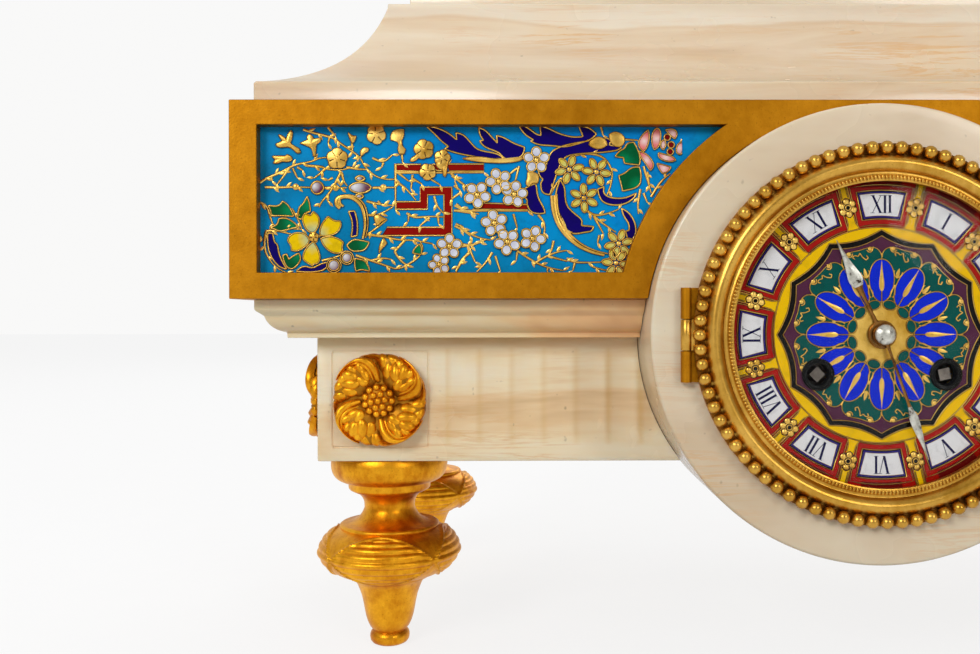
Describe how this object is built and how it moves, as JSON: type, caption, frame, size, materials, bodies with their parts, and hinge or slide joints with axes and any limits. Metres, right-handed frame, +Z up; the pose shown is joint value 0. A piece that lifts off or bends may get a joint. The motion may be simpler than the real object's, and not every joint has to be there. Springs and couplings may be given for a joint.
{
  "type": "figural mantel clock",
  "caption": "Onyx mantel clock with a gilt and enamel frieze, turned gilt feet, a low round enamel dial behind a hinged beaded bezel, a robed gilt figure on top and a striking movement",
  "frame": {"origin": "on the shelf under the feet, at the middle of the clock's width and depth", "axes": "+X to the viewer's right, +Y from the dial to the back, +Z up; the dial faces -Y"},
  "size_m": [0.399, 0.207, 0.4566],
  "materials": {
    "onyx": "polished translucent cream onyx with peach and white bands",
    "gilt_bronze": "fire-gilt chased bronze, bright on the high places",
    "figure_bronze": "fire-gilt bronze, softly chased",
    "cloisonne": "opaque turquoise enamel with wire-edged flowers",
    "dial_enamel": "polychrome enamel with gilt wires and white cartouches",
    "black_enamel": "glossy black",
    "white_metal": "silvered, softly polished",
    "movement_brass": "lacquered clock brass",
    "steel": "polished clock steel",
    "timber": "plain sawn beech",
    "clear_glass": "clear domed glass"
  },
  "bodies": {
    "case": {"top_slab": "onyx", "upper_plinth": "onyx", "rear_panel": "onyx", "lower_moulding": "onyx", "base_block": "onyx", "roundel": "onyx", "frieze_frame": "gilt_bronze", "side_frames": "gilt_bronze", "front_rosettes": "gilt_bronze", "side_rosettes": "gilt_bronze", "foot_front_left": "gilt_bronze", "foot_front_right": "gilt_bronze", "foot_rear_left": "gilt_bronze", "foot_rear_right": "gilt_bronze", "dial_surround": "gilt_bronze", "hinge_pins": "gilt_bronze", "rear_ring": "gilt_bronze", "lyre": "gilt_bronze", "figure": "figure_bronze", "figure_base": "figure_bronze", "frieze_core": "timber", "enamel_panel_left": "cloisonne", "enamel_panel_right": "cloisonne", "side_enamels": "cloisonne", "fixing_rods": "steel", "bell_stand": "steel", "movement_straps": "steel", "strap_screws": "steel", "sleeve": "movement_brass", "front_plate": "movement_brass", "back_plate": "movement_brass", "pillars": "movement_brass", "suspension_block": "movement_brass", "bell": "movement_brass", "dial_plate": "dial_enamel", "winding_grommets": "black_enamel"},
    "bezel": {"bezel": "gilt_bronze", "bezel_glass": "clear_glass"},
    "centre_arbor": {"centre_wheel": "movement_brass", "minute_hand": "white_metal", "hand_nut": "white_metal"},
    "hour_wheel": {"hour_wheel": "movement_brass", "hour_hand": "white_metal"},
    "minute_wheel": {"minute_wheel": "movement_brass"},
    "going_barrel": {"going_barrel": "movement_brass"},
    "going_winding_arbor": {"going_winding_arbor": "steel"},
    "going_click": {"going_click": "steel"},
    "going_second_wheel": {"going_second_wheel": "movement_brass"},
    "third_wheel": {"third_wheel": "movement_brass"},
    "escape_wheel": {"escape_wheel": "movement_brass"},
    "anchor": {"anchor": "steel"},
    "pendulum": {"pendulum": "movement_brass"},
    "strike_barrel": {"strike_barrel": "movement_brass"},
    "strike_winding_arbor": {"strike_winding_arbor": "steel"},
    "strike_click": {"strike_click": "steel"},
    "strike_second_wheel": {"strike_second_wheel": "movement_brass"},
    "pin_wheel": {"pin_wheel": "movement_brass"},
    "fly": {"fly": "movement_brass"},
    "hammer": {"hammer": "steel"},
    "rear_door": {"rear_door": "gilt_bronze"}
  },
  "joints": [
    {"name": "bezel_hinge", "type": "hinge", "parent": "case", "child": "bezel", "pos_m": [-0.0595, -0.0988, 0.1107], "axis": [0, 0, -1], "range_deg": [0, 110]},
    {"name": "centre_spin", "type": "hinge", "parent": "case", "child": "centre_arbor", "pos_m": [0, -0.0859, 0.1107], "axis": [0, 1, 0], "continuous": true},
    {"name": "hour_spin", "type": "hinge", "parent": "case", "child": "hour_wheel", "pos_m": [0, -0.0889, 0.1107], "axis": [0, 1, 0], "continuous": true},
    {"name": "minute_wheel_spin", "type": "hinge", "parent": "case", "child": "minute_wheel", "pos_m": [0.00509, -0.0889, 0.11579], "axis": [0, 1, 0], "continuous": true},
    {"name": "going_barrel_spin", "type": "hinge", "parent": "case", "child": "going_barrel", "pos_m": [0.0193, -0.0739, 0.0987], "axis": [0, 1, 0], "continuous": true},
    {"name": "going_second_spin", "type": "hinge", "parent": "case", "child": "going_second_wheel", "pos_m": [0.0098, -0.0739, 0.11446], "axis": [0, 1, 0], "continuous": true},
    {"name": "third_spin", "type": "hinge", "parent": "case", "child": "third_wheel", "pos_m": [-0.0045, -0.0659, 0.11935], "axis": [0, 1, 0], "continuous": true},
    {"name": "escape_spin", "type": "hinge", "parent": "case", "child": "escape_wheel", "pos_m": [0, -0.0659, 0.12665], "axis": [0, 1, 0], "continuous": true},
    {"name": "going_winding", "type": "hinge", "parent": "case", "child": "going_winding_arbor", "pos_m": [0.0193, -0.0859, 0.0987], "axis": [0, 1, 0], "continuous": true},
    {"name": "going_click_lift", "type": "hinge", "parent": "case", "child": "going_click", "pos_m": [0.02637, -0.0869, 0.09027], "axis": [0, -1, 0], "range_deg": [0, 20]},
    {"name": "pendulum_swing", "type": "hinge", "parent": "case", "child": "pendulum", "pos_m": [0, -0.0409, 0.1407], "axis": [0, 1, 0], "range_deg": [-4, 4]},
    {"name": "anchor_swing", "type": "hinge", "parent": "case", "child": "anchor", "pos_m": [0, -0.0659, 0.1407], "axis": [0, 1, 0], "range_deg": [-4, 4]},
    {"name": "strike_second_spin", "type": "hinge", "parent": "case", "child": "strike_second_wheel", "pos_m": [-0.02249, -0.0739, 0.11682], "axis": [0, 1, 0], "continuous": true},
    {"name": "strike_barrel_spin", "type": "hinge", "parent": "case", "child": "strike_barrel", "pos_m": [-0.0193, -0.0739, 0.0987], "axis": [0, 1, 0], "continuous": true},
    {"name": "pin_wheel_spin", "type": "hinge", "parent": "case", "child": "pin_wheel", "pos_m": [-0.01749, -0.0659, 0.12548], "axis": [0, 1, 0], "continuous": true},
    {"name": "fly_spin", "type": "hinge", "parent": "case", "child": "fly", "pos_m": [-0.01998, -0.0659, 0.1323], "axis": [0, 1, 0], "continuous": true},
    {"name": "strike_winding", "type": "hinge", "parent": "case", "child": "strike_winding_arbor", "pos_m": [-0.0193, -0.0859, 0.0987], "axis": [0, 1, 0], "continuous": true},
    {"name": "strike_click_lift", "type": "hinge", "parent": "case", "child": "strike_click", "pos_m": [-0.02637, -0.0869, 0.09027], "axis": [0, 1, 0], "range_deg": [0, 20]},
    {"name": "hammer_lift", "type": "hinge", "parent": "case", "child": "hammer", "pos_m": [-0.02992, -0.0659, 0.13295], "axis": [0, 1, 0], "range_deg": [0, 12], "stiffness_Nm_per_rad": 0.02},
    {"name": "rear_door_hinge", "type": "hinge", "parent": "case", "child": "rear_door", "pos_m": [0.0636, 0.096, 0.1107], "axis": [0, 0, -1], "range_deg": [0, 110]}
  ],
  "couplings": [
    {"joint": "hour_spin", "follows": "centre_spin", "ratio": 0.083333},
    {"joint": "minute_wheel_spin", "follows": "centre_spin", "ratio": -0.33333},
    {"joint": "going_barrel_spin", "follows": "centre_spin", "ratio": 0.018519},
    {"joint": "going_second_spin", "follows": "centre_spin", "ratio": -0.16667},
    {"joint": "third_spin", "follows": "centre_spin", "ratio": -12},
    {"joint": "escape_spin", "follows": "centre_spin", "ratio": 144},
    {"joint": "anchor_swing", "follows": "pendulum_swing", "ratio": 1},
    {"joint": "strike_barrel_spin", "follows": "strike_second_spin", "ratio": -0.11111},
    {"joint": "pin_wheel_spin", "follows": "strike_second_spin", "ratio": -9},
    {"joint": "fly_spin", "follows": "strike_second_spin", "ratio": 90}
  ]
}
